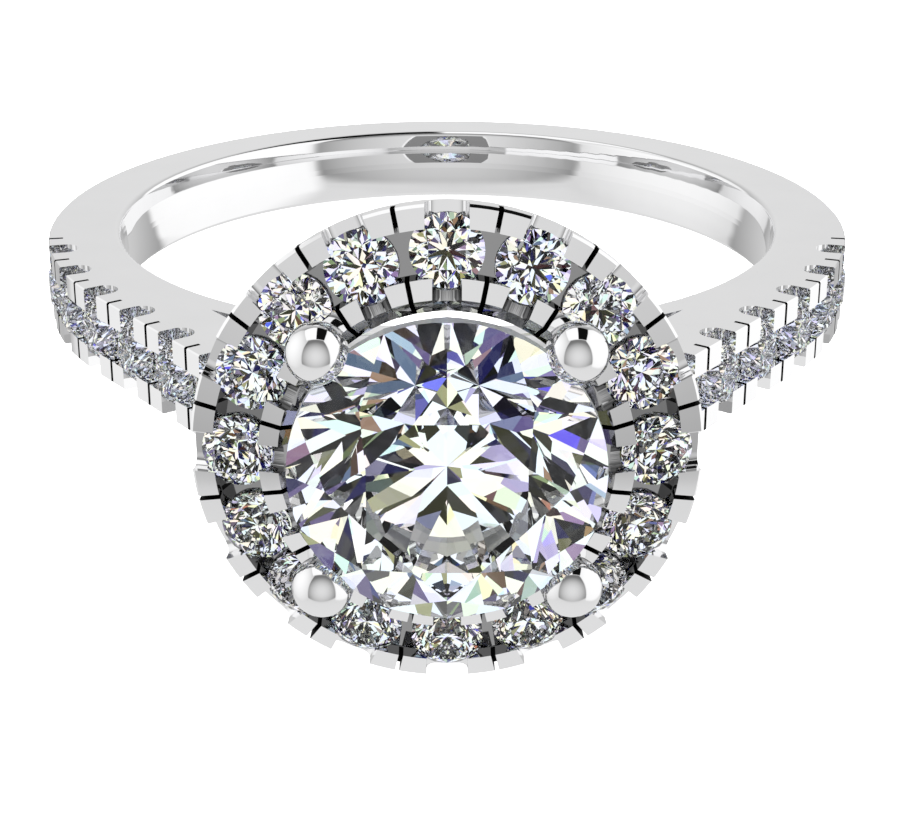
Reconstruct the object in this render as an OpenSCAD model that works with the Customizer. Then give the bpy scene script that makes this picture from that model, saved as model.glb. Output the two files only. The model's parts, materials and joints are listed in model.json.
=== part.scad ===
// Halo ring: a round brilliant in four claws, a ring of sixteen small brilliants round it, and a
// shank with six brilliants in each shoulder. The ring lies on its side, as it rests on a table.
// Sizes are millimetres and degrees.

/* [Shank] */
// Finger hole, across the narrow land in the middle of the band
hole_d = 16.6; // [16:0.1:17.2]
// Radius of the rounded inside of the band, seen in cross section
comfort_r = 3.9; // [3:0.1:8]
// Width of the band along the finger
band_w = 1.96; // [1.8:0.02:2.2]
// Outer diameter of the band
band_d = 20.24; // [19.6:0.02:20.8]
// How far the outer circle sits towards the head, which makes the shoulders thicker
band_shift = 0.4; // [0.2:0.05:0.5]
// Rounding of the band's inner edges
inner_edge = 0.15; // [0.08:0.01:0.2]
// Chamfer on the band's outer edges
outer_edge = 0.03; // [0.02:0.01:0.08]
// Steepness of the shoulder arms against the line across the finger
arm_rise = 54; // [50:0.5:58]
// Thickness of the shoulder arms
arm_t = 1.7; // [1.5:0.01:1.9]
// Thickness of the bridge that closes the finger hole under the head
bridge_t = 0.8; // [0.6:0.05:1]

/* [Shoulder stones] */
// Stones in each shoulder
shoulder_count = 6; // [3:1:6]
// Distance between neighbouring shoulder stones
shoulder_pitch = 1.8; // [1.7:0.01:1.85]
// Where the first slot lies, as an angle above the line across the finger
shoulder_start = 9.3; // [8:0.1:14]
// Diameter of a shoulder stone
shoulder_stone_d = 1.5; // [1.35:0.01:1.56]
// Width of the posts along the finger
shoulder_post_w = 0.54; // [0.45:0.01:0.6]
// Depth of the groove between the two rows of posts
shoulder_groove = 0.4; // [0.38:0.01:0.5]
// Width of the rounded cut beside each stone
shoulder_cut_w = 0.64; // [0.5:0.01:0.75]
// Depth of the rounded cut beside each stone
shoulder_cut_depth = 0.7; // [0.55:0.01:0.8]
// How far the stones' tables stand above the posts
shoulder_table_up = 0.06; // [0:0.01:0.1]

/* [Halo] */
// Stones in the halo
halo_count = 16; // [16:1:16]
// Outer diameter of the halo
halo_d = 10.44; // [10.3:0.02:10.6]
// Height of the halo's outer top edge above the centre of the finger hole
halo_top = 13.17; // [12.9:0.01:13.4]
// Fall of the halo's top towards its outer edge
halo_slope = 15; // [10:0.5:20]
// Width of the outer posts along the slope
outer_post = 0.48; // [0.4:0.01:0.54]
// Width of the groove that the halo stones stand in
halo_groove_w = 0.97; // [0.9:0.01:1.05]
// Width of the inner posts along the slope
inner_post = 0.42; // [0.35:0.01:0.46]
// Depth of the groove between the posts
halo_groove = 0.38; // [0.38:0.01:0.45]
// Height of the halo's outer wall
halo_wall = 0.6; // [0.5:0.01:0.7]
// How far the foot of the halo's outer wall stands in from its top
halo_wall_in = 0.08; // [0.02:0.01:0.08]
// Thickness of the halo from its outer top edge to its underside
halo_t = 0.92; // [0.85:0.01:1.1]
// Chamfer on the posts' outer top edge
halo_chamfer = 0.05; // [0.03:0.01:0.08]
// Width of the sloped seat inside the inner posts
seat_w = 0.33; // [0.25:0.01:0.4]
// Least reach of the halo's inner edge under the centre stone
halo_under = 0.11; // [0.1:0.01:0.2]
// Diameter of a halo stone
halo_stone_d = 1.5; // [1.35:0.01:1.54]
// How far the stones' tables stand above the posts
halo_table_up = 0.06; // [0:0.01:0.1]
// How far the stones stand out from the middle of their groove
halo_stone_out = 0.05; // [0:0.01:0.06]
// Width of the cut in the outer wall beside each stone
outer_cut_w = 0.88; // [0.7:0.01:0.95]
// Depth of the cut in the outer wall beside each stone
outer_cut_depth = 0.46; // [0.35:0.01:0.5]
// Rounding of the lower corners of the cut in the outer wall
outer_cut_r = 0.22; // [0.1:0.01:0.3]
// Width of the rounded cut in the inner wall beside each stone
inner_cut_w = 0.58; // [0.45:0.01:0.62]
// Uneven spacing of the stones: how far they draw together behind the claws, in degrees
halo_skew = 0.8; // [0:0.1:1]
// Width of the slots that split the posts
slot_w = 0.1; // [0.08:0.01:0.12]
// Depth of the slots that split the posts
slot_depth = 0.36; // [0.3:0.01:0.37]

/* [Centre stone and claws] */
// Diameter of the centre stone
centre_d = 6.4; // [6.3:0.02:6.5]
// Height of the centre stone's girdle above the halo's outer top edge
centre_up = 1.04; // [1:0.01:1.1]
// Diameter of the ball on each claw
ball_d = 1.27; // [1.2:0.01:1.32]
// How far the balls' centres stand outside the stone's edge
ball_out = 0.38; // [0.34:0.01:0.42]
// How far the balls' centres stand above the girdle
ball_up = 0.04; // [0:0.01:0.15]
// Diameter of the claws' round stems
claw_d = 0.62; // [0.56:0.01:0.7]
// Distance of the claws' feet from the middle of the bridge
claw_foot = 0.86; // [0.8:0.01:0.9]

/* [Cut of the stones] */
// Table across its corners, as a share of the stone's diameter
table_share = 0.53; // [0.5:0.01:0.58]
// Steepness of the crown's main facets
crown_angle = 38.5; // [34:0.5:40]
// Steepness of the pavilion's main facets
pavilion_angle = 40; // [36:0.25:41]
// Thickness of the girdle at its thickest, as a share of the stone's diameter
girdle_share = 0.055; // [0.04:0.005:0.06]
// Reach of the star facets from the table towards the girdle, as a share
star_share = 0.5; // [0.45:0.01:0.55]
// Reach of the lower girdle facets from the girdle towards the culet, as a share
lower_share = 0.8; // [0.7:0.01:0.8]
// Gap between a small stone and the metal round it
stone_gap = 0.04; // [0.03:0.005:0.06]
// Gap between the centre stone and its claws
centre_gap = 0.05; // [0.04:0.005:0.08]

/* [Hidden] */
sides = ["left", "right"];
$fn = 96;

// Overshoot of every cutter past the face that it cuts
over = 0.5;
// Main facets round a brilliant, and claws round the centre stone
fold = 8;
claw_count = 4;
metal = [0.86, 0.86, 0.87];
clear_stone = [0.9, 0.93, 1];

// Radii of the hole, the band and the bridge
hole_r = hole_d / 2;
band_r = band_d / 2;
bridge_r = hole_r + bridge_t;
// Width of the flat land in the middle of the rounded inside, a true cylinder
land_w = 0.16;
// Centre of the circle that rounds the inside, and of the fillet at the band's inner edge
comfort_x = hole_r + sqrt(pow(comfort_r, 2) - pow(land_w / 2, 2));
inner_edge_y = band_w / 2 - inner_edge;
inner_edge_x = comfort_x - sqrt(pow(comfort_r - inner_edge, 2) - pow(inner_edge_y, 2));
// Height at which the rounded inside runs into that fillet
inner_edge_start = inner_edge_y * comfort_r / (comfort_r - inner_edge);

// The shoulder's outer edge is the band's circle up to arm_angle, then a straight line.
arm_angle = 90 - arm_rise;
arm_dir = [-cos(arm_rise), sin(arm_rise)];
arm_start = [band_r * cos(arm_angle), band_shift + band_r * sin(arm_angle)];
arm_inner = arm_start - arm_t * [cos(arm_angle), sin(arm_angle)];
arc_length = band_r * (arm_angle - shoulder_start) * PI / 180;
row_length = shoulder_count * shoulder_pitch;

// Heights inside a cut stone of diameter d, from the middle of its girdle
function half_girdle(d) = girdle_share * d / 2;
function crown_h(d) = half_girdle(d) + d / 2 * (1 - table_share) * tan(crown_angle);
function culet_h(d) = -half_girdle(d) - d / 2 * tan(pavilion_angle);

// How far below the posts' tops the middle of a stone's girdle lies
halo_sink = crown_h(halo_stone_d) - halo_table_up;
shoulder_sink = crown_h(shoulder_stone_d) - shoulder_table_up;

// The halo's top is a cone. Radii of its edges, from the outside in, and heights.
outer_r = halo_d / 2;
groove_out_r = outer_r - outer_post * cos(halo_slope);
groove_in_r = groove_out_r - halo_groove_w * cos(halo_slope);
seat_r = groove_in_r - inner_post * cos(halo_slope);
inner_r = min(seat_r - seat_w, centre_d / 2 - halo_under);
pitch_r = (groove_out_r + groove_in_r) / 2 + halo_stone_out;
seat_low = top_h(seat_r) - (seat_r - inner_r) * tan(pavilion_angle);
// The cuts leave small flat ledges in the sloped seat: their reach as a share of the seat's
// width, and their depth below its inner edge
ledge_share = 2 / 3;
ledge_drop = 0.02;
ledge_r = inner_r + ledge_share * (seat_r - inner_r);
ledge_h = seat_low - ledge_drop;
wall_low = halo_top - halo_wall;
foot_r = outer_r - halo_wall_in;
halo_low = halo_top - halo_t;
step = 360 / halo_count;

// Height of the halo's sloped top at radius r
function top_h(r) = halo_top + (outer_r - r) * tan(halo_slope);

// Angle of stone number i round the halo. Slots lie at half numbers.
function halo_angle(i) = let (t = step * i) t + halo_skew * sin(claw_count * t);

// Angle and point of the shoulder's outer edge, s past the first slot
function edge_angle(s) = s < arc_length ? shoulder_start + s / band_r * 180 / PI : arm_angle;
function edge_point(s) = s < arc_length
    ? [0, band_shift] + band_r * [cos(edge_angle(s)), sin(edge_angle(s))]
    : arm_start + (s - arc_length) * arm_dir;

// Height of the centre stone's girdle above the centre of the finger hole
centre_h = halo_top + centre_up;

// The claws' balls, and the lean of the stems that carry them
ball_r = centre_d / 2 + ball_out;
ball_h = centre_h + ball_up;
foot_h = hole_r + bridge_t / 2;
claw_lean = atan2(ball_r - claw_foot, ball_h - foot_h);
claw_length = norm([ball_r - claw_foot, ball_h - foot_h]);

// The ring rests on the foot of the halo's wall and on the lower edge of the band's palm side.
palm_n = band_shift - band_r;
tilt = atan2(foot_r - band_w / 2, wall_low - palm_n - outer_edge);
lift = foot_r * cos(tilt) - wall_low * sin(tilt);
// The origin is below the middle of the ring's box, from the palm side to the table's edge.
table_corner = centre_d / 2 * table_share;
back_y = -palm_n * cos(tilt) + (band_w / 2 - outer_edge) * sin(tilt);
front_y = -(centre_h + crown_h(centre_d)) * cos(tilt) - table_corner * cos(180 / fold) * sin(tilt);
middle_y = (back_y + front_y) / 2;

function halo_name(i) = str("halo_stone_", i < 10 ? "0" : "", i);
function shoulder_name(side, i) = str(side, "_stone_", i);

// The ring is modelled with x across the finger, y towards the head and z along the finger,
// and is then laid down on its side with the head to the front.
module lay_down() {
    translate([0, -middle_y, lift]) rotate([tilt, 0, 180]) children();
}

// The head's own frame: z is the height above the centre of the finger hole.
module on_head() {
    rotate([-90, 0, 0]) children();
}

// The frame of halo stone i: x outwards down the slope, z out of the halo's top
module on_halo(i) {
    rotate([0, 0, halo_angle(i)]) translate([pitch_r, 0, top_h(pitch_r)])
        rotate([0, halo_slope, 0]) children();
}

// The frame of a point on a shoulder's outer edge: x out of the band, y along it
module on_shoulder(side, s) {
    p = edge_point(s);
    mirror([side == "right" ? 1 : 0, 0, 0]) translate([p[0], p[1], 0])
        rotate([0, 0, edge_angle(s)]) children();
}

// Round brilliant of diameter d with its girdle's middle at the origin and its table upwards.
// Each of its girdle facets, two to a main facet, meets the girdle in a curve of n short edges.
module brilliant(d, n) {
    r = d / 2;
    g = half_girdle(d);
    eighth = 360 / fold;
    half = eighth / 2;
    sector = half / 2;
    first = half;
    edges = 2 * fold * n;
    star_r = r * (table_share * cos(half) * (1 - star_share) + star_share);
    lower_r = r * (1 - lower_share);
    star_z = g + (r - star_r * cos(half)) * tan(crown_angle);
    lower_z = -g - (r - lower_r * cos(half)) * tan(pavilion_angle);
    upper_slope = (star_z - g) / ((r - star_r) * cos(sector));
    lower_slope = (-g - lower_z) / ((r - lower_r) * cos(sector));
    // How far a girdle point lies outside the chord of its facet
    function bow(j) = r * cos((j % n) / n * half - sector) - r * cos(sector);
    function ring(radius, z, turn) =
        [for (k = [0:fold - 1]) let (a = first + turn + eighth * k)
            [radius * cos(a), radius * sin(a), z]];
    function girdle(z, slope) =
        [for (j = [0:edges - 1]) let (a = first + 360 * j / edges)
            [r * cos(a), r * sin(a), z - bow(j) * slope]];
    points = concat(ring(r * table_share, crown_h(d), 0), ring(star_r, star_z, half),
        ring(lower_r, lower_z, half), [[0, 0, culet_h(d)]],
        girdle(g, upper_slope), girdle(-g, -lower_slope));
    star = fold;
    lower = star + fold;
    culet = lower + fold;
    top = culet + 1;
    bottom = top + edges;
    last = fold - 1;
    table = [[for (k = [last:-1:0]) k]];
    stars = [for (k = [0:last]) [(k + 1) % fold, star + k, k]];
    kites = [for (k = [0:last]) [k, star + k, top + 2 * n * k, star + (k + last) % fold]];
    uppers = [for (q = [0:2 * fold - 1])
        concat([star + floor(q / 2)], [for (j = [n:-1:0]) top + (q * n + j) % edges])];
    band = [for (j = [0:edges - 1]) let (next = (j + 1) % edges)
        [top + j, top + next, bottom + next, bottom + j]];
    lowers = [for (q = [0:2 * fold - 1])
        concat([lower + floor(q / 2)], [for (j = [0:n]) bottom + (q * n + j) % edges])];
    mains = [for (k = [0:last]) [culet, lower + (k + last) % fold, bottom + 2 * n * k, lower + k]];
    polyhedron(points, concat(table, stars, kites, uppers, band, lowers, mains));
}

// Space for a brilliant of diameter d and a gap all round it, open above the table
module stone_space(d, gap) {
    r = d / 2;
    g = half_girdle(d);
    below = gap / cos(pavilion_angle);
    above = gap / cos(crown_angle);
    rotate_extrude() polygon([
        [0, culet_h(d) - below],
        [r + gap, -g - below + gap * tan(pavilion_angle)],
        [r + gap, g + above - gap * tan(crown_angle)],
        [r * table_share, crown_h(d) + above],
        [r * table_share, crown_h(d) + over],
        [0, crown_h(d) + over]]);
}

// Section of the corner that a chamfer of width f takes off, with the corner up and to the right
module corner_waste(f) {
    polygon([[f + over, -over], [f + over, f + over], [-over, f + over]]);
}

// Finger hole: a rounded inside with a narrow flat land, and rounded inner edges
module finger_hole() {
    reach = band_w / 2 + over;
    rotate_extrude() {
        translate([0, -reach]) square([hole_r, 2 * reach]);
        difference() {
            translate([0, -reach]) square([inner_edge_x, 2 * reach]);
            translate([comfort_x, 0]) circle(comfort_r);
        }
        for (up = [0, 1]) mirror([0, up]) difference() {
            translate([hole_r, inner_edge_start])
                square([inner_edge_x - hole_r, reach - inner_edge_start]);
            translate([inner_edge_x, inner_edge_y]) circle(inner_edge);
        }
    }
}

// Side view of the metal round the finger: band, arms and bridge, with the split between them
module shank_outline() {
    arm_out = (wall_low - arm_start[1]) / tan(arm_rise);
    arm_in = (wall_low - arm_inner[1]) / tan(arm_rise);
    difference() {
        union() {
            translate([0, band_shift]) circle(band_r);
            for (turned = [0, 1]) mirror([turned, 0]) polygon([
                arm_start, [arm_start[0] - arm_out, wall_low],
                [arm_inner[0] - arm_in, wall_low], arm_inner]);
        }
        polygon([arm_inner, [0, arm_inner[1] + arm_inner[0] * tan(arm_rise)],
            [-arm_inner[0], arm_inner[1]]]);
    }
    circle(bridge_r);
}

// Groove between the two rows of posts on a shoulder, from the first slot to the last stone
module shoulder_groove_cut() {
    sweep = 2 * band_r;
    linear_extrude(band_w - 2 * shoulder_post_w, center = true) {
        intersection() {
            translate([0, band_shift]) difference() {
                circle(band_r + over);
                circle(band_r - shoulder_groove);
            }
            translate([0, band_shift]) polygon([[0, 0],
                sweep * [cos(shoulder_start), sin(shoulder_start)],
                sweep * [cos(arm_angle), sin(arm_angle)]]);
        }
        translate(arm_start) rotate(arm_angle) translate([-shoulder_groove, 0])
            square([shoulder_groove + over, row_length - arc_length]);
    }
}

// Rounded cut that opens both side faces beside a shoulder stone
module shoulder_side_cut() {
    r = shoulder_cut_w / 2;
    linear_extrude(band_w + 2 * over, center = true) {
        translate([r - shoulder_cut_depth, 0]) circle(r);
        translate([r - shoulder_cut_depth, -r]) square([shoulder_cut_depth - r + over, 2 * r]);
    }
}

// Chamfers along the outer edges of the band and the arms
module outer_edge_cuts() {
    edge_z = band_w / 2 - outer_edge;
    for (up = [0, 1]) mirror([0, 0, up]) {
        translate([0, band_shift, 0]) rotate([0, 0, 180 - arm_angle])
            rotate_extrude(angle = 180 + 2 * arm_angle)
                translate([band_r - outer_edge, edge_z]) corner_waste(outer_edge);
        for (turned = [0, 1]) mirror([turned, 0, 0])
            translate([arm_start[0], arm_start[1], 0]) rotate([0, 0, arm_angle])
                rotate([90, 0, 180]) mirror([1, 0, 0]) linear_extrude(2 * outer_r)
                    translate([-outer_edge, edge_z]) corner_waste(outer_edge);
    }
}

// Band, split shoulders and bridge, with the shoulders' grooves, cuts and slots
module shank() {
    difference() {
        difference() {
            linear_extrude(band_w, center = true) shank_outline();
            outer_edge_cuts();
        }
        translate([0, bridge_r + over, 0]) on_head() cylinder(r = inner_r, h = wall_low);
        for (turned = [0, 1]) mirror([turned, 0, 0]) shoulder_groove_cut();
        for (side = sides, i = [0:shoulder_count - 1]) {
            on_shoulder(side, (i + 0.5) * shoulder_pitch) shoulder_side_cut();
            on_shoulder(side, i * shoulder_pitch)
                translate([-slot_depth, -slot_w / 2, -band_w / 2 - over])
                    cube([slot_depth + over, slot_w, band_w + 2 * over]);
        }
    }
}

// Section of the cut in the halo's outer wall, open upwards
module outer_cut() {
    floor_w = outer_cut_w - 2 * outer_cut_r;
    for (turned = [0, 1]) mirror([turned, 0])
        translate([floor_w / 2, outer_cut_r - outer_cut_depth]) circle(outer_cut_r);
    translate([-floor_w / 2, -outer_cut_depth]) square([floor_w, outer_cut_depth + over]);
    translate([-outer_cut_w / 2, outer_cut_r - outer_cut_depth])
        square([outer_cut_w, outer_cut_depth - outer_cut_r + over]);
}

// Ring of metal round the centre stone, with a groove for its stones, posts and slots
module halo() {
    groove_drop = halo_groove / cos(halo_slope);
    wall_reach = outer_r - inner_r + 2 * over;
    difference() {
        rotate_extrude() polygon([
            [inner_r, halo_low], [inner_r, seat_low], [seat_r, top_h(seat_r)],
            [outer_r - halo_chamfer, top_h(outer_r - halo_chamfer)],
            [outer_r, halo_top - halo_chamfer], [foot_r, wall_low],
            [foot_r - (wall_low - halo_low), halo_low]]);
        rotate_extrude() polygon([
            [groove_in_r, top_h(groove_in_r) - groove_drop],
            [groove_out_r, top_h(groove_out_r) - groove_drop],
            [groove_out_r, top_h(groove_out_r) + over],
            [groove_in_r, top_h(groove_in_r) + over]]);
        for (i = [0:halo_count - 1]) {
            on_halo(i) {
                rotate([90, 0, 90]) linear_extrude(wall_reach) outer_cut();
                rotate([0, -90, 0]) cylinder(d = inner_cut_w, h = wall_reach);
            }
            rotate([0, 0, halo_angle(i)]) translate([0, -inner_cut_w / 2, ledge_h])
                cube([ledge_r, inner_cut_w, over]);
            on_halo(i + 0.5) translate([-wall_reach / 2, -slot_w / 2, -slot_depth])
                cube([wall_reach, slot_w, slot_depth + over]);
        }
    }
}

// Four round stems that lean out from the bridge, each with a ball over the stone's edge
module claws() {
    for (k = [1:claw_count]) rotate([0, 0, 360 / claw_count * (k - 0.5)]) {
        translate([ball_r, 0, ball_h]) sphere(d = ball_d);
        translate([claw_foot, 0, foot_h]) rotate([0, claw_lean, 0])
            cylinder(d = claw_d, h = claw_length);
    }
}

// All the metal: one casting, with the seats cut to the stones
module setting() {
    color(metal) lay_down() difference() {
        union() {
            shank();
            on_head() {
                halo();
                claws();
            }
        }
        finger_hole();
        on_head() {
            translate([0, 0, centre_h]) stone_space(centre_d, centre_gap);
            for (i = [0:halo_count - 1])
                on_halo(i) translate([0, 0, -halo_sink]) stone_space(halo_stone_d, stone_gap);
        }
        for (side = sides, i = [0:shoulder_count - 1])
            on_shoulder(side, (i + 0.5) * shoulder_pitch) rotate([0, 90, 0])
                translate([0, 0, -shoulder_sink]) stone_space(shoulder_stone_d, stone_gap);
    }
}

module centre_stone() {
    color(clear_stone) lay_down() on_head() translate([0, 0, centre_h]) brilliant(centre_d, 4);
}

module halo_stone(i) {
    color(clear_stone) lay_down() on_head() on_halo(i) translate([0, 0, -halo_sink])
        brilliant(halo_stone_d, 2);
}

module shoulder_stone(side, i) {
    color(clear_stone) lay_down() on_shoulder(side, (i - 0.5) * shoulder_pitch)
        rotate([0, 90, 0]) translate([0, 0, -shoulder_sink]) brilliant(shoulder_stone_d, 2);
}

setting();
centre_stone();
for (i = [1:halo_count])
    halo_stone(i);
for (side = sides, i = [1:shoulder_count])
    shoulder_stone(side, i);
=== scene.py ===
"""Looks of a halo ring: polished white metal, a round brilliant in four claws and 28 small ones.

Everything is in metres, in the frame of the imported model: the ring lies on its side on the
floor, its head towards -Y. Sizes are in millimetres where a name ends in _mm, and in Slots and
Metalwork. Brightness and shade are in Blender's linear values.
"""
from __future__ import annotations

import json
import logging
import math
from dataclasses import dataclass, field, replace
from enum import Enum

import bmesh
import bpy
import numpy as np
from mathutils import Matrix, Vector

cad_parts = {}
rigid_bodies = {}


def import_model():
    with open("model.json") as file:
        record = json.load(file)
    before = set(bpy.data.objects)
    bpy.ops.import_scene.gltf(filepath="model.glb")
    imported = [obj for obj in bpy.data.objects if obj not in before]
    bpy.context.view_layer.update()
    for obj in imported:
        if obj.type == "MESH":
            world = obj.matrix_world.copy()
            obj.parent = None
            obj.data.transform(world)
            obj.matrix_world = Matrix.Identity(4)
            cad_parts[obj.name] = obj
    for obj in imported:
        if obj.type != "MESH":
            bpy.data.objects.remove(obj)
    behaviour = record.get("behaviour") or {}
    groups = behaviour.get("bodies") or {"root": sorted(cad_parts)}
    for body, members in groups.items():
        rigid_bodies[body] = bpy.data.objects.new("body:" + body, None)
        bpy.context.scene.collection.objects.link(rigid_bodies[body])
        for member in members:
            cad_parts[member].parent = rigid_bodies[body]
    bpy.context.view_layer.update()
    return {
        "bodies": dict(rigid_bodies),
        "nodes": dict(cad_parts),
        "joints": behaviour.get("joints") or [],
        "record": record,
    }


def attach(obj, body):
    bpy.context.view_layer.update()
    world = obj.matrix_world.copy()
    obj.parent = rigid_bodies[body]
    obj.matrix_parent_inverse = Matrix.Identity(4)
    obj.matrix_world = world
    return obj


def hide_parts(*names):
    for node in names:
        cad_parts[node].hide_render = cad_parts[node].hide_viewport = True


LOG = logging.getLogger("halo_ring")
MM = 0.001
ALL_BOUNCES = 20
STONE_BOUNCES = 16
MIRROR_BOUNCES = 12
Colour = tuple[float, float, float]
Triple = tuple[float, float, float]


class Row(Enum):
    """The rows of stones, by the start of their nodes' names."""

    CENTRE = "centre_stone"
    HALO = "halo_stone_"
    LEFT = "left_stone_"
    RIGHT = "right_stone_"


@dataclass(frozen=True)
class RingPose:
    """How the ring lies: its finger hole's axis leans away from upright, its centre is raised."""

    tilt_deg: float = 10.5855
    centre_y_mm: float = 2.93795
    centre_z_mm: float = 2.74339

    def direction(self, across: float, ahead: float, along: float) -> Vector:
        """Turns a direction in the ring's own frame into the scene's frame.

        Args:
            across: Part to the right, seen from the head's side.
            ahead: Part from the finger hole's middle towards the head.
            along: Part along the finger hole's axis, upwards.

        Returns:
            The same direction in the scene.
        """
        c, s = math.cos(math.radians(self.tilt_deg)), math.sin(math.radians(self.tilt_deg))
        return Vector((across, -ahead * c + along * s, ahead * s + along * c))

    def point(self, across_mm: float, ahead_mm: float, along_mm: float) -> Vector:
        """Turns a point in the ring's own frame, in millimetres, into the scene's, in metres."""
        centre = Vector((0, self.centre_y_mm, self.centre_z_mm))
        return (centre + self.direction(across_mm, ahead_mm, along_mm)) * MM

    def inside(self, points: np.ndarray) -> np.ndarray:
        """Turns scene points into the ring's own frame.

        Args:
            points: Points in metres, one a row.

        Returns:
            For each point, across, ahead and along in millimetres.
        """
        c, s = math.cos(math.radians(self.tilt_deg)), math.sin(math.radians(self.tilt_deg))
        y = points[:, 1] / MM - self.centre_y_mm
        z = points[:, 2] / MM - self.centre_z_mm
        return np.stack([points[:, 0] / MM, -y * c + z * s, y * s + z * c], axis=1)


class NodeBench:
    """A small helper that adds shader nodes to a tree and links them."""

    # the Mix node's colour sockets, by number, since its number and vector sockets share names
    FIRST_COLOUR = 6
    SECOND_COLOUR = 7
    MIXED_COLOUR = 2

    def __init__(self, tree: bpy.types.NodeTree) -> None:
        """Keeps the tree that the nodes go into."""
        self.tree = tree

    def add(self, kind: str, **settings: object) -> bpy.types.Node:
        """Adds a node and sets its properties.

        Args:
            kind: Blender's name of the node's type.
            settings: Properties of the node.

        Returns:
            The new node.
        """
        node = self.tree.nodes.new(kind)
        for name, value in settings.items():
            setattr(node, name, value)
        return node

    def link(self, source: bpy.types.NodeSocket, target: bpy.types.NodeSocket) -> None:
        """Links an output to an input."""
        self.tree.links.new(source, target)

    def feed(self, target: bpy.types.NodeSocket, value: object) -> None:
        """Links value to target where it is a socket, and sets it as a default otherwise.

        Args:
            target: The input.
            value: A socket, or a number, colour or vector of the input's own kind.
        """
        if isinstance(value, bpy.types.NodeSocket):
            self.link(value, target)
        else:
            target.default_value = value

    def fill(self, node: bpy.types.Node, values: dict[str, object]) -> None:
        """Feeds several of a node's inputs, by name."""
        for name, value in values.items():
            self.feed(node.inputs[name], value)

    def maths(self, operation: str, *values: object) -> bpy.types.NodeSocket:
        """Adds a Math node.

        Args:
            operation: Blender's name of the operation.
            values: Sockets or numbers for its inputs.

        Returns:
            The node's output.
        """
        node = self.add("ShaderNodeMath", operation=operation)
        for socket, value in zip(node.inputs, values):
            self.feed(socket, value)
        return node.outputs[0]

    def dot(self, first: object, second: object) -> bpy.types.NodeSocket:
        """Adds a dot product of two vectors.

        Args:
            first: A vector or socket.
            second: A vector or socket.

        Returns:
            The product's number.
        """
        node = self.add("ShaderNodeVectorMath", operation="DOT_PRODUCT")
        self.feed(node.inputs[0], first)
        self.feed(node.inputs[1], second)
        return node.outputs["Value"]

    def ramp(self, value: object, low: object, high: object, start: object = 0.0,
             end: object = 1.0, smooth: bool = False) -> bpy.types.NodeSocket:
        """Maps a value from the span low to high onto the span start to end.

        Args:
            value: The number or socket to map.
            low: Where the span begins.
            high: Where the span ends.
            start: Result at low.
            end: Result at high.
            smooth: Whether the change eases in and out.

        Returns:
            The mapped number.
        """
        kind = "SMOOTHSTEP" if smooth else "LINEAR"
        node = self.add("ShaderNodeMapRange", interpolation_type=kind, clamp=True)
        self.fill(node, {"Value": value, "From Min": low, "From Max": high,
                         "To Min": start, "To Max": end})
        return node.outputs["Result"]

    def mix(self, share: object, first: object, second: object,
            blend: str = "MIX") -> bpy.types.NodeSocket:
        """Mixes two colours.

        Args:
            share: The second colour's share, from 0 to 1.
            first: A colour or socket.
            second: A colour or socket.
            blend: Blender's name of the way they blend.

        Returns:
            The mixed colour.
        """
        node = self.add("ShaderNodeMix", data_type="RGBA", blend_type=blend)
        self.feed(node.inputs["Factor"], share)
        self.feed(node.inputs[self.FIRST_COLOUR], first)
        self.feed(node.inputs[self.SECOND_COLOUR], second)
        return node.outputs[self.MIXED_COLOUR]

    def colours(self, value: object, stops: tuple[tuple[float, Colour], ...],
                sharp: bool = False) -> bpy.types.NodeSocket:
        """Picks a colour by a number between 0 and 1.

        Args:
            value: The number or socket that picks.
            stops: Place and colour of each stop, in order.
            sharp: Whether each colour holds up to the next stop, without blending.

        Returns:
            The colour.
        """
        node = self.add("ShaderNodeValToRGB")
        node.color_ramp.interpolation = "CONSTANT" if sharp else "LINEAR"
        while len(node.color_ramp.elements) < len(stops):
            node.color_ramp.elements.new(0.5)
        for element, (place, colour) in zip(node.color_ramp.elements, stops):
            element.position = place
            element.color = (*colour, 1)
        self.feed(node.inputs["Fac"], value)
        return node.outputs["Color"]


def new_group(name: str, inputs: dict[str, tuple[str, object]],
              outputs: dict[str, str]) -> tuple[bpy.types.NodeTree, NodeBench]:
    """Starts a shader node group with named sockets.

    Args:
        name: The group's name.
        inputs: Socket kind and default of each input, by name.
        outputs: Socket kind of each output, by name.

    Returns:
        The group's tree, and a bench to build in it.
    """
    tree = bpy.data.node_groups.new(name, "ShaderNodeTree")
    for label, (kind, default) in inputs.items():
        socket = tree.interface.new_socket(label, in_out="INPUT", socket_type=kind)
        if default is not None:
            socket.default_value = default
    for label, kind in outputs.items():
        tree.interface.new_socket(label, in_out="OUTPUT", socket_type=kind)
    return tree, NodeBench(tree)


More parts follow.
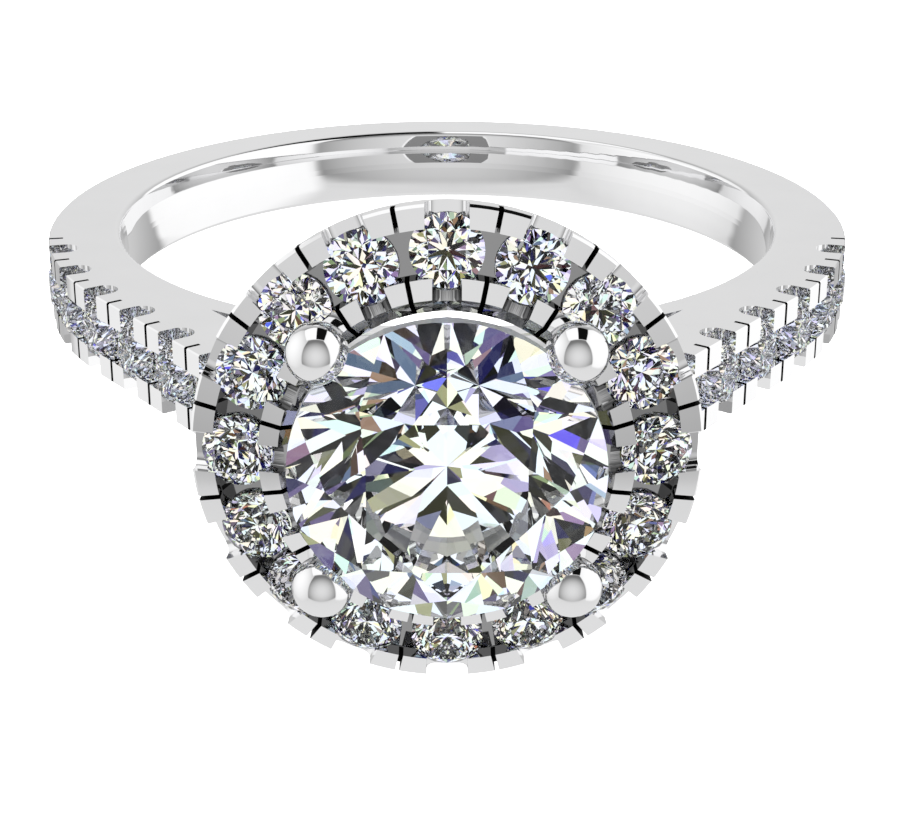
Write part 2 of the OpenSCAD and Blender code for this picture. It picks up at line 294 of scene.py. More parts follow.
class Effects:
    """The node groups that the finishes share, each built once."""

    FLOAT = "NodeSocketFloat"
    COLOR = "NodeSocketColor"
    VECTOR = "NodeSocketVector"

    # wheel polish: spans of the haze, and the swirl lines' stretch and size
    HAZE_GLOSS = (0.35, 0.7)
    HAZE_SHADE = (0.3, 0.7)
    HAZE_DETAIL = 3.0
    LINE_STRETCH = (6.0, 1.0, 1.0)
    LINE_SCALE = 9000.0
    LINE_DETAIL = 1.0
    # painted fire: facets that face the same way within a step share a painted hue, in place of
    # split light
    FACET_STEP = (0.5, 0.5, 0.5)
    FACET_HUES = ((0.0, (0.30, 0.33, 1.0)), (0.24, (1.0, 1.0, 1.0)), (0.55, (0.55, 0.62, 0.25)),
                  (0.68, (1.0, 0.98, 0.96)), (0.85, (1.0, 0.62, 0.40)), (0.93, (0.45, 0.95, 0.9)))
    # softbox: the least depth that across and along are divided by
    LEAST_DEPTH = 1e-4
    # lamp dome: where red, green and blue look, and the lamps' tones and tints
    LOOK_WAY = (0.5, 0.8, 0.6)
    LOOKS = (-0.35, 0.0, 1.0)
    LAMP_TONES = ((0.0, 0.0), (0.15, 0.01), (0.28, 0.11), (0.43, 0.4), (0.56, 0.85), (0.66, 1.0))
    LAMP_TINTS = ((0.0, (1.0, 1.0, 1.0)), (0.24, (0.44, 0.64, 1.0)), (0.44, (0.30, 0.36, 1.0)),
                  (0.60, (0.56, 0.44, 1.0)), (0.70, (0.50, 0.86, 1.0)), (0.75, (0.55, 0.85, 0.60)),
                  (0.82, (0.78, 0.80, 0.36)), (0.94, (1.0, 0.66, 0.44)))
    RED_SHARE = 0.25
    RED_CAP = (1.7, 0.02)
    BLUE_SHARE = 0.7
    BLUE_CAP = (3.2, 0.05)
    TINT_FADE = (0.4, 1.2, 1.0, 0.3)

    def __init__(self) -> None:
        """Builds the groups."""
        self.polish = self._polish()
        self.painted_facet_fire = self._painted_facet_fire()
        self.softbox = self._softbox()
        self.lamp_dome = self._lamp_dome()

    def _polish(self) -> bpy.types.NodeTree:
        """Traces of the polishing wheel: a fine haze in the gloss and hair-thin swirl lines.

        Returns:
            A group with the outputs Roughness, Shade and Height.
        """
        tree, bench = new_group(
            "wheel_polish",
            {"Position": (self.VECTOR, None), "Haze size": (self.FLOAT, 900.0),
             "Smoothest": (self.FLOAT, 0.02), "Roughest": (self.FLOAT, 0.08),
             "Light": (self.COLOR, (0.9, 0.9, 0.9, 1)),
             "Deep": (self.COLOR, (0.85, 0.85, 0.85, 1))},
            {"Roughness": self.FLOAT, "Shade": self.COLOR, "Height": self.FLOAT})
        inside, outside = bench.add("NodeGroupInput"), bench.add("NodeGroupOutput")
        side = inside.outputs
        haze = bench.add("ShaderNodeTexNoise")
        bench.fill(haze, {"Vector": side["Position"], "Scale": side["Haze size"],
                          "Detail": self.HAZE_DETAIL})
        rough = bench.ramp(haze.outputs["Fac"], *self.HAZE_GLOSS, side["Smoothest"],
                           side["Roughest"], smooth=True)
        shade = bench.mix(bench.ramp(haze.outputs["Fac"], *self.HAZE_SHADE), side["Light"],
                          side["Deep"])
        stretch = bench.add("ShaderNodeMapping", vector_type="TEXTURE")
        bench.fill(stretch, {"Vector": side["Position"], "Scale": self.LINE_STRETCH})
        lines = bench.add("ShaderNodeTexNoise")
        bench.fill(lines, {"Vector": stretch.outputs["Vector"], "Scale": self.LINE_SCALE,
                           "Detail": self.LINE_DETAIL})
        bench.fill(outside, {"Roughness": rough, "Shade": shade, "Height": lines.outputs["Fac"]})
        return tree

    def _painted_facet_fire(self) -> bpy.types.NodeTree:
        """A faint painted tint that differs from facet to facet: painted coloured flashes in place
        of the light that a cut stone splits.

        The facet's own direction picks the hue, so the tint stays with the facet.

        Returns:
            A group with the output Color.
        """
        tree, bench = new_group(
            "facet_fire",
            {"Strength": (self.FLOAT, 0.2), "Seed": (self.FLOAT, 37.0)}, {"Color": self.COLOR})
        inside, outside = bench.add("NodeGroupInput"), bench.add("NodeGroupOutput")
        facet = bench.add("ShaderNodeNewGeometry")
        scale = bench.add("ShaderNodeVectorMath", operation="SCALE")
        bench.link(facet.outputs["True Normal"], scale.inputs[0])
        bench.link(inside.outputs["Seed"], scale.inputs["Scale"])
        snap = bench.add("ShaderNodeVectorMath", operation="SNAP")
        snap.inputs[1].default_value = self.FACET_STEP
        bench.link(scale.outputs[0], snap.inputs[0])
        spark = bench.add("ShaderNodeTexWhiteNoise", noise_dimensions="3D")
        bench.link(snap.outputs[0], spark.inputs["Vector"])
        hue = bench.colours(spark.outputs["Value"], self.FACET_HUES, sharp=True)
        tint = bench.mix(inside.outputs["Strength"], (1, 1, 1, 1), hue)
        bench.link(tint, outside.inputs["Color"])
        return tree

    def _softbox(self) -> bpy.types.NodeTree:
        """A rectangle of light seen in a direction, with soft edges.

        Across and along are the direction's parts on the panel's own axes, divided by its part
        towards the panel; the mask is 1 where both lie between the panel's edges.

        Returns:
            A group with the outputs Mask and Middle, which falls from 1 at the panel's middle to 0.
        """
        tree, bench = new_group(
            "softbox",
            {"Direction": (self.VECTOR, None), "Axis": (self.VECTOR, None),
             "Right": (self.VECTOR, None), "Up": (self.VECTOR, None),
             "Left edge": (self.FLOAT, -1.0), "Right edge": (self.FLOAT, 1.0),
             "Bottom": (self.FLOAT, -1.0), "Top": (self.FLOAT, 1.0),
             "Softness": (self.FLOAT, 0.05), "Middle across": (self.FLOAT, 0.0),
             "Middle up": (self.FLOAT, 0.0), "Reach": (self.FLOAT, 1.5)},
            {"Mask": self.FLOAT, "Middle": self.FLOAT})
        inside, outside = bench.add("NodeGroupInput"), bench.add("NodeGroupOutput")
        side = inside.outputs
        depth = bench.dot(side["Direction"], side["Axis"])
        safe = bench.maths("MAXIMUM", depth, self.LEAST_DEPTH)
        across = bench.maths("DIVIDE", bench.dot(side["Direction"], side["Right"]), safe)
        along = bench.maths("DIVIDE", bench.dot(side["Direction"], side["Up"]), safe)
        mask = bench.maths("GREATER_THAN", depth, 0.0)
        for place, low, high in ((across, "Left edge", "Right edge"), (along, "Bottom", "Top")):
            for edge, rising in ((low, True), (high, False)):
                near = bench.maths("SUBTRACT", side[edge], side["Softness"])
                far = bench.maths("ADD", side[edge], side["Softness"])
                step = bench.ramp(place, near, far, 0.0 if rising else 1.0,
                                  1.0 if rising else 0.0, smooth=True)
                mask = bench.maths("MULTIPLY", mask, step)
        bench.link(mask, outside.inputs["Mask"])
        off = bench.maths("SUBTRACT", across, side["Middle across"])
        rise = bench.maths("SUBTRACT", along, side["Middle up"])
        length = bench.maths("SQRT", bench.maths("ADD", bench.maths("MULTIPLY", off, off),
                                                 bench.maths("MULTIPLY", rise, rise)))
        middle = bench.ramp(length, 0.0, side["Reach"], 1.0, 0.0, smooth=True)
        bench.link(middle, outside.inputs["Middle"])
        return tree

    def _lamp_dome(self) -> bpy.types.NodeTree:
        """A dome of small lamps and gaps between them, by direction.

        Space is split into cells round scattered points, and each cell has one brightness. Red
        looks a little to one side of green and blue to the other, as in a stone's fire. Red is
        RED_SHARE of its own look and the rest of green's, and at most RED_CAP's first number
        times green plus its second. Blue is BLUE_SHARE of the brighter of its own look and
        green's and the rest of the darker, and its cap is worked out alike. Each lamp has a soft
        tint too, which fades as TINT_FADE says while green gets brighter.

        Returns:
            A group with the output Color.
        """
        tree, bench = new_group(
            "lamp_dome",
            {"Direction": (self.VECTOR, None), "Shift": (self.VECTOR, (0.0, 0.0, 0.0)),
             "Cells": (self.FLOAT, 3.0), "Spread": (self.FLOAT, 0.05),
             "Bright": (self.FLOAT, 1.2), "Tint": (self.FLOAT, 1.0)},
            {"Color": self.COLOR})
        inside, outside = bench.add("NodeGroupInput"), bench.add("NodeGroupOutput")
        side = inside.outputs
        start = bench.add("ShaderNodeVectorMath", operation="ADD")
        bench.link(side["Direction"], start.inputs[0])
        bench.link(side["Shift"], start.inputs[1])
        tones = tuple((spot, (grey, grey, grey)) for spot, grey in self.LAMP_TONES)
        looks = []
        for turn in self.LOOKS:
            shift = bench.add("ShaderNodeVectorMath", operation="SCALE")
            shift.inputs[0].default_value = self.LOOK_WAY
            bench.link(bench.maths("MULTIPLY", side["Spread"], turn), shift.inputs["Scale"])
            place = bench.add("ShaderNodeVectorMath", operation="ADD")
            bench.link(start.outputs[0], place.inputs[0])
            bench.link(shift.outputs[0], place.inputs[1])
            cell = bench.add("ShaderNodeTexVoronoi", feature="F1")
            bench.link(place.outputs[0], cell.inputs["Vector"])
            bench.link(side["Cells"], cell.inputs["Scale"])
            split = bench.add("ShaderNodeSeparateColor")
            bench.link(cell.outputs["Color"], split.inputs[0])
            tone = bench.colours(split.outputs[0], tones)
            looks.append((bench.maths("MULTIPLY", tone, side["Bright"]), split.outputs[1]))
        (red, _), (green, pick), (blue, _) = looks
        red = bench.maths("ADD", bench.maths("MULTIPLY", red, self.RED_SHARE),
                          bench.maths("MULTIPLY", green, 1 - self.RED_SHARE))
        cap = bench.maths("MULTIPLY_ADD", green, *self.RED_CAP)
        red = bench.maths("MINIMUM", red, cap)
        darker, brighter = bench.maths("MINIMUM", green, blue), bench.maths("MAXIMUM", green, blue)
        blue = bench.maths("ADD", bench.maths("MULTIPLY", darker, 1 - self.BLUE_SHARE),
                           bench.maths("MULTIPLY", brighter, self.BLUE_SHARE))
        cap = bench.maths("MULTIPLY_ADD", green, *self.BLUE_CAP)
        blue = bench.maths("MINIMUM", blue, cap)
        join = bench.add("ShaderNodeCombineColor")
        for socket, value in zip(join.inputs, (red, green, blue)):
            bench.link(value, socket)
        tint = bench.colours(pick, self.LAMP_TINTS, sharp=True)
        share = bench.maths("MULTIPLY", bench.ramp(green, *self.TINT_FADE), side["Tint"])
        tinted = bench.mix(share, join.outputs[0], tint, blend="MULTIPLY")
        bench.link(tinted, outside.inputs["Color"])
        return tree


def shader_bench(material: bpy.types.Material) -> tuple[NodeBench, bpy.types.Node]:
    """Returns a bench on a material's tree, and its Principled BSDF."""
    material.use_nodes = True
    return NodeBench(material.node_tree), material.node_tree.nodes["Principled BSDF"]


@dataclass(frozen=True)
class WhiteMetal:
    """High polish on white gold: nearly a mirror, with the wheel's faint haze.

    A corner attribute of painted shade darkens the faces in the slots, the groove and the seat
    towards the slots' near-black, in place of the shade that falls there, and from dull_from up it
    also dulls the face towards slot_rough.
    """

    light: Colour = (0.905, 0.905, 0.91)
    deep: Colour = (0.885, 0.885, 0.89)
    smoothest: float = 0.015
    roughest: float = 0.045
    haze_size: float = 700.0
    line_depth_mm: float = 0.00004
    line_strength: float = 0.05
    # painted shade: the near-black colour that the slots are painted with, where shade falls
    slot_painted_shade: Colour = (0.004, 0.004, 0.004)
    slot_rough: float = 0.6
    dull_from: float = 0.6

    def make(self, effects: Effects) -> bpy.types.Material:
        """Builds the material.

        Args:
            effects: The shared node groups.

        Returns:
            The polished metal.
        """
        material = bpy.data.materials.new("polished_white_metal")
        bench, surface = shader_bench(material)
        place = bench.add("ShaderNodeTexCoord")
        polish = bench.add("ShaderNodeGroup", node_tree=effects.polish)
        bench.fill(polish, {
            "Position": place.outputs["Object"], "Haze size": self.haze_size,
            "Smoothest": self.smoothest, "Roughest": self.roughest,
            "Light": (*self.light, 1), "Deep": (*self.deep, 1)})
        # painted shade: how far each face is darkened for the shade in the slots, the groove and
        # the seat
        painted_recess_shade = bench.add("ShaderNodeAttribute", attribute_name="painted_recess_shade").outputs["Fac"]
        bump = bench.add("ShaderNodeBump")
        bench.fill(bump, {"Strength": self.line_strength, "Distance": self.line_depth_mm * MM,
                          "Height": polish.outputs["Height"]})
        # the base colour takes the painted shade of the slots, the groove and the seat
        bench.fill(surface, {
            "Base Color": bench.mix(painted_recess_shade, polish.outputs["Shade"], (*self.slot_painted_shade, 1)),
            "Roughness": bench.ramp(painted_recess_shade, self.dull_from, 1.0, polish.outputs["Roughness"],
                                    self.slot_rough),
            "Normal": bump.outputs["Normal"], "Metallic": 1.0})
        return material


@dataclass(frozen=True)
class CutStone:
    """A clear, colourless stone that bends light strongly, with a little painted fire in its
    facets: a hue per facet in place of split light.

    Where the stone's axis is given, its girdle is ground: the faces whose normals have less than
    girdle_lean along the axis are a little darker and rough.
    """

    name: str
    fire: float
    seed: float
    ior: float = 2.417
    glare: float = 0.16
    axis: Triple = (0.0, 0.0, 0.0)
    girdle_lean: float = 0.2
    girdle_shade: float = 0.55
    girdle_rough: float = 0.3

    def make(self, effects: Effects) -> bpy.types.Material:
        """Builds the material.

        Args:
            effects: The shared node groups.

        Returns:
            The stone's glass.
        """
        material = bpy.data.materials.new(self.name)
        bench, surface = shader_bench(material)
        # painted fire: a hue per facet in the base colour, in place of the colours of split light
        tint = bench.add("ShaderNodeGroup", node_tree=effects.painted_facet_fire)
        bench.fill(tint, {"Strength": self.fire, "Seed": self.seed})
        colour: object = tint.outputs["Color"]
        rough: object = 0.0
        if any(self.axis):
            facet = bench.add("ShaderNodeNewGeometry")
            lean = bench.maths("ABSOLUTE", bench.dot(facet.outputs["True Normal"], self.axis))
            girdle = bench.maths("LESS_THAN", lean, self.girdle_lean)
            shade = self.girdle_shade
            colour = bench.mix(girdle, colour, (shade, shade, shade, 1))
            rough = bench.maths("MULTIPLY", girdle, self.girdle_rough)
        bench.fill(surface, {
            "Base Color": colour, "Roughness": rough, "Metallic": 0.0,
            "Transmission Weight": 1.0, "IOR": self.ior,
            "Specular Tint": (self.glare, self.glare, self.glare, 1)})
        return material


@dataclass(frozen=True)
class PaleFloor:
    """Matt white table top, faintly uneven."""

    shade: Colour = (0.93, 0.93, 0.93)
    darkest: float = 0.985
    mottle: float = 30.0
    rough: float = 0.9
    gloss: float = 0.1
    glow: float = 0.85

    def make(self) -> bpy.types.Material:
        """Builds the material.

        Returns:
            The floor's matt white.
        """
        material = bpy.data.materials.new("pale_floor")
        bench, surface = shader_bench(material)
        place = bench.add("ShaderNodeTexCoord")
        patches = bench.add("ShaderNodeTexNoise")
        bench.fill(patches, {"Scale": self.mottle, "Vector": place.outputs["Object"]})
        low = tuple(self.darkest * part for part in self.shade)
        bench.fill(surface, {
            "Base Color": bench.mix(patches.outputs["Fac"], (*low, 1), (*self.shade, 1)),
            "Roughness": self.rough, "Specular IOR Level": self.gloss,
            "Emission Color": (1, 1, 1, 1), "Emission Strength": self.glow})
        return material


@dataclass(frozen=True)
class Slots:
    """Where the posts' slots and the stones' grooves lie, from the part's own sizes.

    Sizes are in millimetres and angles in degrees. Every point is in the ring's own frame:
    across, ahead and along.
    """

    slot_w: float = 0.1
    slot_depth: float = 0.36
    slack: float = 0.006
    margin: float = 0.1
    claw_count: int = 4
    halo_count: int = 16
    halo_skew: float = 0.8
    halo_slope: float = 15.0
    halo_top: float = 13.17
    outer_r: float = 5.22
    outer_post: float = 0.48
    groove_w: float = 0.97
    groove_depth: float = 1.3
    inner_post: float = 0.42
    inner_r: float = 3.08
    halo_low: float = 12.25
    band_r: float = 10.12
    band_shift: float = 0.4
    arm_deg: float = 36.0
    start_deg: float = 9.3
    pitch: float = 1.8
    shoulder_count: int = 6
    shoulder_slack: float = 0.02
    shoulder_over: float = 0.2

    def halo_deg(self, number: np.ndarray) -> np.ndarray:
        """Angle of place number round the halo: even steps, drawn together behind the claws."""
        even = 360.0 / self.halo_count * number
        return even + self.halo_skew * np.sin(np.radians(self.claw_count * even))

    def in_halo_slot(self, ring: np.ndarray) -> np.ndarray:
        """Tells which points lie in a slot of the halo.

        Such a point lies within half a slot of the radial plane halfway between two stones,
        outside the halo's inner edge, and no further below the top than the slot is deep.

        Args:
            ring: The points, one a row.

        Returns:
            True for each point in a slot.
        """
        angle = np.radians(self.halo_deg(np.arange(self.halo_count) + 0.5))
        x, y = -ring[:, 0], -ring[:, 2]
        aside = -np.outer(x, np.sin(angle)) + np.outer(y, np.cos(angle))
        out = np.outer(x, np.cos(angle)) + np.outer(y, np.sin(angle))
        near = np.abs(aside) < self.slot_w / 2 + self.slack
        near &= out > self.inner_r - self.margin
        drop = self.drop(ring)
        return near.any(axis=1) & (drop < self.slot_depth + self.slack) & (drop > -self.margin)

    def drop(self, ring: np.ndarray) -> np.ndarray:
        """Measures how far each point lies below the halo's sloped top, square to it.

        The top's height at the point's distance from the head's axis, less the point's own
        height, times the slope's cosine.

        Args:
            ring: The points, one a row.

        Returns:
            The drop of each point.
        """
        r = np.hypot(ring[:, 0], ring[:, 2])
        slope = math.radians(self.halo_slope)
        return (self.halo_top + (self.outer_r - r) * math.tan(slope) - ring[:, 1]) * math.cos(slope)

    def in_halo_groove(self, ring: np.ndarray) -> np.ndarray:
        """Tells which points lie in the halo's groove, or in the cuts between its inner posts.

        Such a point lies between the outer posts and the inner posts' inner edge, by its
        distance from the head's axis, and below the top by less than groove_depth.

        Args:
            ring: The points, one a row.

        Returns:
            True for each point in the groove.
        """
        r = np.hypot(ring[:, 0], ring[:, 2])
        run = math.cos(math.radians(self.halo_slope))
        far = self.outer_r - self.outer_post * run
        near = far - (self.groove_w + self.inner_post) * run
        drop = self.drop(ring)
        across = (r < far + self.slack) & (r > near - self.slack)
        return across & (drop > self.slack) & (drop < self.groove_depth)

    def in_seat(self, ring: np.ndarray) -> np.ndarray:
        """Tells which points lie on the sloped seat round the centre stone.

        Such a point lies between the inner posts and the halo's inner edge, by its distance from
        the head's axis, and between halo_low and the sloped top.

        Args:
            ring: The points, one a row.

        Returns:
            True for each point on the seat.
        """
        r = np.hypot(ring[:, 0], ring[:, 2])
        run = math.cos(math.radians(self.halo_slope))
        edge = self.outer_r - (self.outer_post + self.groove_w + self.inner_post) * run
        level = (self.drop(ring) > -self.slack) & (ring[:, 1] > self.halo_low)
        return level & (r < edge + self.slack) & (r > self.inner_r - self.margin)

    def in_shoulder_slot(self, ring: np.ndarray) -> np.ndarray:
        """Tells which points lie in a shoulder's slot: near its plane and above its floor.

        The slots stand square to the band's outline, one pitch apart: a circle from start_deg to
        arm_deg, and its tangent from there on.

        Args:
            ring: The points, one a row.

        Returns:
            True for each point in a slot.
        """
        place = np.arange(self.shoulder_count) * self.pitch
        arc = self.band_r * math.radians(self.arm_deg - self.start_deg)
        round_part = place < arc
        deg = np.where(round_part, self.start_deg + np.degrees(place / self.band_r), self.arm_deg)
        a, top = np.radians(deg), math.radians(self.arm_deg)
        past = np.where(round_part, 0.0, place - arc)
        px = self.band_r * np.cos(a) - past * math.sin(top)
        py = self.band_shift + self.band_r * np.sin(a) + past * math.cos(top)
        x, y = np.abs(ring[:, :1]), ring[:, 1:2]
        along = -(x - px) * np.sin(a) + (y - py) * np.cos(a)
        out = (x - px) * np.cos(a) + (y - py) * np.sin(a)
        near = np.abs(along) < self.slot_w / 2 + self.slack
        level = (out > -self.slot_depth - self.shoulder_slack) & (out < self.shoulder_over)
        return (near & level).any(axis=1)


@dataclass
class Metalwork:
    """Shank, shoulders, halo and claws: one casting, dressed as a merged copy of its CAD node.

    Its balls have the diameter ball_d. Their middles lie ball_r from the head's axis, halfway
    between across and along, and ball_h ahead of the finger hole's middle.
    """

    pose: RingPose
    slots: Slots = Slots()
    node: str = "setting"
    merge_mm: float = 0.0004
    # painted shade of the halo's groove and of the seat round the centre stone, where shade falls
    groove_painted_shade: float = 0.62
    seat_painted_shade: float = 0.45
    ball_d: float = 1.27
    ball_r: float = 3.58
    ball_h: float = 14.25
    ball_slack: float = 0.004
    ball_lean_deg: float = 20.0

    def paint_recess_shade(self, mesh: bpy.types.Mesh) -> None:
        """Writes painted shade for each face: how much it is darkened for the shade that falls in
        the slots, the halo's groove and the seat.

        A face whose middle lies in a slot gets 1, one in the halo's groove gets the groove's
        painted shade, one inside the inner posts gets the seat's painted shade, and all others 0,
        as a corner attribute of painted shade.

        Args:
            mesh: The merged mesh.
        """
        count = len(mesh.polygons)
        corners_of = np.empty(count, dtype=np.int32)
        mesh.polygons.foreach_get("loop_total", corners_of)
        flat = np.empty(count * 3)
        mesh.polygons.foreach_get("center", flat)
        middle = self.pose.inside(flat.reshape(-1, 3))
        # painted shade: the slots, the groove and the seat are darkened for the shade that falls in
        # them
        slot = self.slots.in_halo_slot(middle) | self.slots.in_shoulder_slot(middle)
        value = np.where(self.slots.in_halo_groove(middle), self.groove_painted_shade, 0.0)
        value = np.where(self.slots.in_seat(middle), self.seat_painted_shade, value)
        value = np.where(slot, 1.0, value)
        layer = mesh.attributes.new("painted_recess_shade", "FLOAT", "CORNER")
        layer.data.foreach_set("value", np.repeat(value, corners_of).astype(np.float32))
        LOG.info("recess: %d faces in slots", int((value == 1.0).sum()))

    def round_balls(self, mesh: bpy.types.Mesh, normals: np.ndarray) -> None:
        """Turns the normals of the four balls' corners straight away from the balls' middles.

        A face belongs to a ball when all its corners lie on the sphere and it faces outwards,
        within ball_lean_deg.

        Args:
            mesh: The merged mesh.
            normals: The corners' normals, one a row, changed in place.
        """
        place = np.empty(len(mesh.vertices) * 3)
        mesh.vertices.foreach_get("co", place)
        place = place.reshape(-1, 3)
        corner = np.empty(len(mesh.loops), dtype=np.int32)
        mesh.loops.foreach_get("vertex_index", corner)
        count = len(mesh.polygons)
        total = np.empty(count, dtype=np.int32)
        middle, facing = np.empty(count * 3), np.empty(count * 3)
        mesh.polygons.foreach_get("loop_total", total)
        mesh.polygons.foreach_get("center", middle)
        mesh.polygons.foreach_get("normal", facing)
        starts = np.concatenate([[0], np.cumsum(total)[:-1]])
        side = self.ball_r * math.sqrt(0.5)
        least = math.cos(math.radians(self.ball_lean_deg))
        turned = 0
        for across in (-side, side):
            for along in (-side, side):
                centre = np.array(self.pose.point(across, self.ball_h, along))
                away = place - centre
                length = np.linalg.norm(away, axis=1)
                on = np.abs(length - self.ball_d / 2 * MM) < self.ball_slack * MM
                whole = np.minimum.reduceat(on[corner].astype(np.int8), starts) > 0
                out = middle.reshape(-1, 3) - centre
                out /= np.linalg.norm(out, axis=1)[:, None]
                outwards = (facing.reshape(-1, 3) * out).sum(axis=1) > least
                pick = np.repeat(whole & outwards, total)
                normals[pick] = (away / length[:, None])[corner[pick]]
                turned += int(pick.sum())
        LOG.info("balls: %d corners rounded", turned)

    def mesh(self, source: bpy.types.Mesh) -> bpy.types.Mesh:
        """Merges the loose triangles and gives their corners the CAD surfaces' own normals.

        Args:
            source: The CAD node's mesh, which isn't changed.

        Returns:
            The merged copy.
        """
        made = source.copy()
        made.name = "setting_polished"
        normals = np.empty(len(made.loops) * 3, dtype=np.float32)
        made.corner_normals.foreach_get("vector", normals)
        kept = made.attributes.new("cad_normal", "FLOAT_VECTOR", "CORNER")
        kept.data.foreach_set("vector", normals)
        shell = bmesh.new()
        shell.from_mesh(made)
        bmesh.ops.remove_doubles(shell, verts=shell.verts, dist=self.merge_mm * MM)
        bmesh.ops.dissolve_degenerate(shell, edges=shell.edges, dist=self.merge_mm * MM)
        for edge in shell.edges:
            edge.smooth = True
        for face in shell.faces:
            face.smooth = True
        shell.to_mesh(made)
        shell.free()
        normals = np.empty(len(made.loops) * 3, dtype=np.float32)
        made.attributes["cad_normal"].data.foreach_get("vector", normals)
        normals = normals.reshape(-1, 3)
        self.round_balls(made, normals)
        made.normals_split_custom_set(normals.tolist())
        made.attributes.remove(made.attributes["cad_normal"])
        self.paint_recess_shade(made)
        return made

    def build(self, frame: dict, material: bpy.types.Material) -> bpy.types.Object:
        """Makes the piece that stands for the casting.

        Args:
            material: The metal's finish.

        Returns:
            The piece.
        """
        piece = bpy.data.objects.new("setting_polished", self.mesh(frame["nodes"][self.node].data))
        bpy.context.scene.collection.objects.link(piece)
        piece.data.materials.clear()
        piece.data.materials.append(material)
        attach(piece, "root")
        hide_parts(self.node)
        LOG.info("setting_polished: %d faces", len(piece.data.polygons))
        return piece


@dataclass
class Stones:
    """The cut stones: they keep their CAD nodes and get their glass."""

    pose: RingPose
    centre: CutStone = field(default_factory=lambda: CutStone("centre_stone_glass", 0.2, 5.0))
    small: CutStone = field(default_factory=lambda: CutStone("small_stone_glass", 0.2, 7.0))

    def build(self, frame: dict, effects: Effects) -> list[bpy.types.Object]:
        """Dresses every stone.

        Args:
            effects: The shared node groups.

        Returns:
            The dressed stones.
        """
        upright = tuple(self.pose.direction(0, 1, 0))
        glass = {Row.CENTRE: replace(self.centre, axis=upright).make(effects)}
        small = self.small.make(effects)
        glass.update({row: small for row in (Row.HALO, Row.LEFT, Row.RIGHT)})
        dressed = []
        for row, material in glass.items():
            for name, stone in sorted(frame["nodes"].items()):
                if name.startswith(row.value):
                    for slot in stone.material_slots:
                        slot.material = material
                    dressed.append(stone)
                    LOG.info("%s: dressed", name)
        return dressed


@dataclass(frozen=True)
class Panel:
    """One wall or light of the studio, a rectangle square to one of the room's axes.

    Its edges are given as shares of its distance, across and upwards. Its brightness runs from
    bright at its own middle to dim at reach from there.
    """

    axis: Triple
    right: Triple
    up: Triple
    edges: tuple[float, float, float, float]
    bright: float
    dim: float
    softness: float = 0.05
    middle: tuple[float, float] = (0.0, 0.0)
    reach: float = 1.5


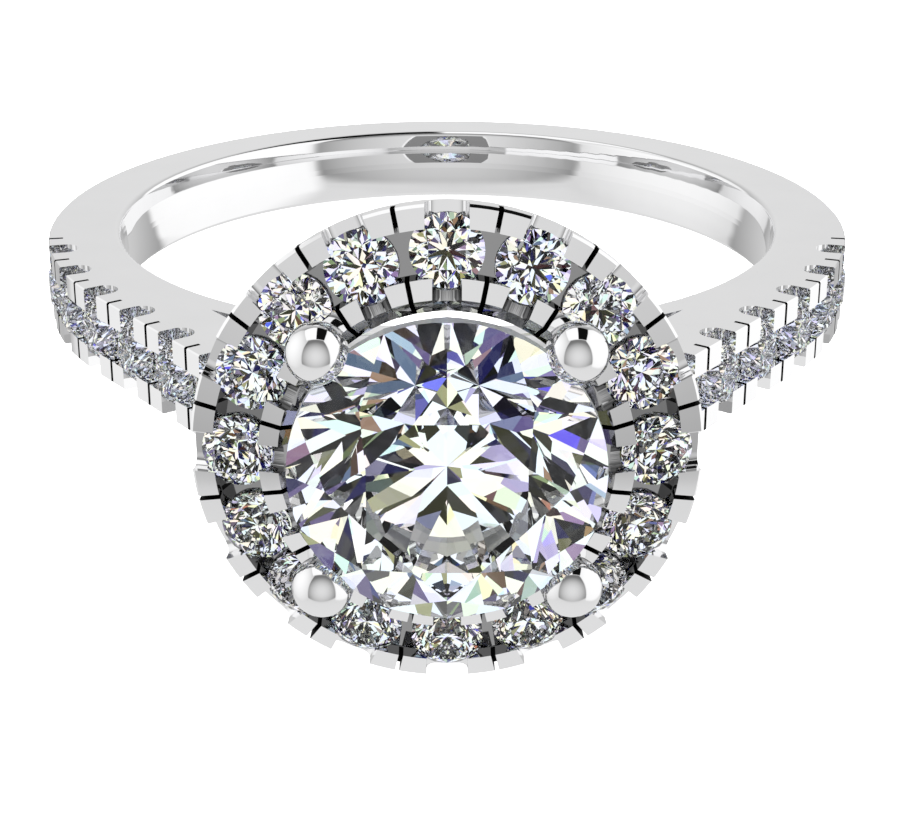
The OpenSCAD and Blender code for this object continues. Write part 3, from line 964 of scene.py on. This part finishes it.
@dataclass
class Studio:
    """The room that the ring mirrors: soft walls all round, on a pale floor."""

    pose: RingPose
    base: float = 0.76
    plain: float = 1.05
    floor_half_mm: float = 600.0
    floor_crown_mm: float = 0.02
    floor_count: int = 25
    lamp_size: float = 0.25
    lamp_watts: float = 0.9
    lamp_place: Triple = (0.0, -0.02, 0.22)
    dome_shift: Triple = (-0.13, 0.24, 0.77)
    dome_cells: float = 3.8
    dome_spread: float = 0.05
    dome_bright: float = 1.25
    panels: tuple[Panel, ...] = (
        # back wall, grey and lighter in the middle
        Panel((0, -1, 0), (-1, 0, 0), (0, 0, 1), (-9, 9, -9, 9), 0.80, 0.30, 0.1, (0, 0.3), 1.7),
        # floor of the room
        Panel((0, 0, -1), (1, 0, 0), (0, 1, 0), (-1.45, 1.45, -1.4, 1.2), 0.82, 0.76, 0.08,
              (0, 0), 3.0),
        # left and right walls
        Panel((-1, 0, 0), (0, 1, 0), (0, 0, 1), (-1.05, 0.8, -0.75, 1.65), 1.12, 0.7, 0.12,
              (-0.15, 0.3), 1.7),
        Panel((1, 0, 0), (0, -1, 0), (0, 0, 1), (-0.8, 1.15, -0.75, 1.85), 1.15, 1.0, 0.12,
              (0.1, 0.4), 2.4),
        # ceiling, a white half and a black half
        Panel((0, 0, 1), (1, 0, 0), (0, -1, 0), (-0.62, 0.02, -0.36, 0.62), 1.12, 1.05, 0.02),
        Panel((0, 0, 1), (1, 0, 0), (0, -1, 0), (0.02, 0.53, -0.36, 0.62), 0.006, 0.006, 0.02),
        # front wall, behind the camera, grey and lighter in the middle
        Panel((0, 1, 0), (1, 0, 0), (0, 0, 1), (-1.2, 1.2, -0.64, 2.5), 0.81, 0.2, 0.1,
              (0, 0.15), 1.75),
    )

    def _axis(self, local: Triple) -> Triple:
        """Turns a direction in the room (right, front, up) into the scene's frame."""
        return tuple(self.pose.direction(*local))

    def world(self, effects: Effects) -> None:
        """Lays the panels one over another, by direction, as the light from all round.

        Args:
            effects: The shared node groups.
        """
        world = bpy.data.worlds.new("soft_room")
        bpy.context.scene.world = world
        world.use_nodes = True
        bench = NodeBench(world.node_tree)
        light = world.node_tree.nodes["Background"]
        direction = bench.add("ShaderNodeTexCoord").outputs["Generated"]
        colour: object = (self.base, self.base, self.base, 1)
        for panel in self.panels:
            box = bench.add("ShaderNodeGroup", node_tree=effects.softbox)
            left_edge, right_edge, bottom, top = panel.edges
            bench.fill(box, {
                "Direction": direction, "Axis": self._axis(panel.axis),
                "Right": self._axis(panel.right), "Up": self._axis(panel.up),
                "Left edge": left_edge, "Right edge": right_edge, "Bottom": bottom, "Top": top,
                "Softness": panel.softness, "Middle across": panel.middle[0],
                "Middle up": panel.middle[1], "Reach": panel.reach})
            shine = bench.ramp(box.outputs["Middle"], 0.0, 1.0, panel.dim, panel.bright)
            colour = bench.mix(box.outputs["Mask"], colour, shine)
        ray = bench.add("ShaderNodeLightPath")
        dome = bench.add("ShaderNodeGroup", node_tree=effects.lamp_dome)
        bench.fill(dome, {"Direction": direction, "Shift": self.dome_shift,
                          "Cells": self.dome_cells, "Spread": self.dome_spread,
                          "Bright": self.dome_bright})
        colour = bench.mix(ray.outputs["Is Transmission Ray"], colour, dome.outputs["Color"])
        seen = bench.mix(ray.outputs["Is Camera Ray"], colour,
                         (self.plain, self.plain, self.plain, 1))
        bench.fill(light, {"Color": seen, "Strength": 1.0})
        LOG.info("world: %d panels", len(self.panels))

    def floor(self) -> bpy.types.Object:
        """Makes the table top: a wide, very slightly crowned sheet whose middle is at height 0.

        Its height falls with the square of the distance from the middle.

        Returns:
            The floor.
        """
        count = self.floor_count
        line = np.linspace(-1.0, 1.0, count)
        x, y = np.meshgrid(line, line)
        half = self.floor_half_mm * MM
        z = -self.floor_crown_mm * MM * (x ** 2 + y ** 2)
        points = np.stack([x * half, y * half, z], axis=-1).reshape(-1, 3)
        index = np.arange(count * count).reshape(count, count)
        faces = np.stack([index[:-1, :-1], index[:-1, 1:], index[1:, 1:], index[1:, :-1]], axis=-1)
        mesh = bpy.data.meshes.new("floor")
        mesh.from_pydata(points.tolist(), [], faces.reshape(-1, 4).tolist())
        floor = bpy.data.objects.new("floor", mesh)
        bpy.context.scene.collection.objects.link(floor)
        mesh.materials.append(PaleFloor().make())
        floor.visible_glossy = False
        floor.visible_transmission = False
        LOG.info("floor: laid")
        return floor

    def lamp(self) -> bpy.types.Object:
        """Hangs a broad lamp that lights the floor alone and stays out of the mirror.

        Returns:
            The lamp.
        """
        data = bpy.data.lights.new("top_light", "AREA")
        data.shape = "DISK"
        data.size = self.lamp_size
        data.energy = self.lamp_watts
        lamp = bpy.data.objects.new("top_light", data)
        lamp.matrix_world = Matrix.Translation(self.lamp_place)
        lamp.visible_glossy = False
        lamp.visible_transmission = False
        lamp.visible_camera = False
        bpy.context.scene.collection.objects.link(lamp)
        LOG.info("top_light: hung")
        return lamp


@dataclass
class Viewpoint:
    """The camera of the photograph, worked out from the ring's own edges in it."""

    pose: RingPose
    ahead_mm: float = 52.514
    above_mm: float = 16.972
    down_deg: float = 22.444
    focal_px: float = 2105.8
    middle_px: float = 447.05
    width_px: int = 920
    sensor_mm: float = 36.0
    clip_mm: tuple[float, float] = (1.0, 10000.0)

    def place(self) -> bpy.types.Object:
        """Sets up the camera at the photograph's viewing angle.

        Returns:
            The scene's camera.
        """
        data = bpy.data.cameras.new("camera")
        data.sensor_fit = "HORIZONTAL"
        data.sensor_width = self.sensor_mm
        data.lens = self.focal_px / self.width_px * self.sensor_mm
        data.shift_x = (self.width_px / 2 - self.middle_px) / self.width_px
        data.clip_start, data.clip_end = (length * MM for length in self.clip_mm)
        camera = bpy.data.objects.new("camera", data)
        down = math.radians(self.down_deg)
        look = self.pose.direction(0, -math.cos(down), -math.sin(down))
        turn = look.to_track_quat("-Z", "Y").to_matrix().to_4x4()
        spot = self.pose.point(0, self.ahead_mm, self.above_mm)
        camera.matrix_world = Matrix.Translation(spot) @ turn
        bpy.context.scene.collection.objects.link(camera)
        bpy.context.scene.camera = camera
        LOG.info("camera: at %s", tuple(round(v, 4) for v in spot))
        return camera


def main() -> None:
    """Loads the frame and builds the ring's looks around it."""
    logging.basicConfig(level=logging.INFO, format="%(message)s")
    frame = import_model()
    scene = bpy.context.scene
    scene.view_settings.view_transform = "Standard"
    scene.cycles.max_bounces = ALL_BOUNCES
    scene.cycles.transmission_bounces = STONE_BOUNCES
    scene.cycles.glossy_bounces = MIRROR_BOUNCES
    effects = Effects()
    pose = RingPose()
    Metalwork(pose).build(frame, WhiteMetal().make(effects))
    Stones(pose).build(frame, effects)
    studio = Studio(pose)
    studio.world(effects)
    studio.floor()
    studio.lamp()
    Viewpoint(pose).place()


if __name__ == "__main__":
    main()
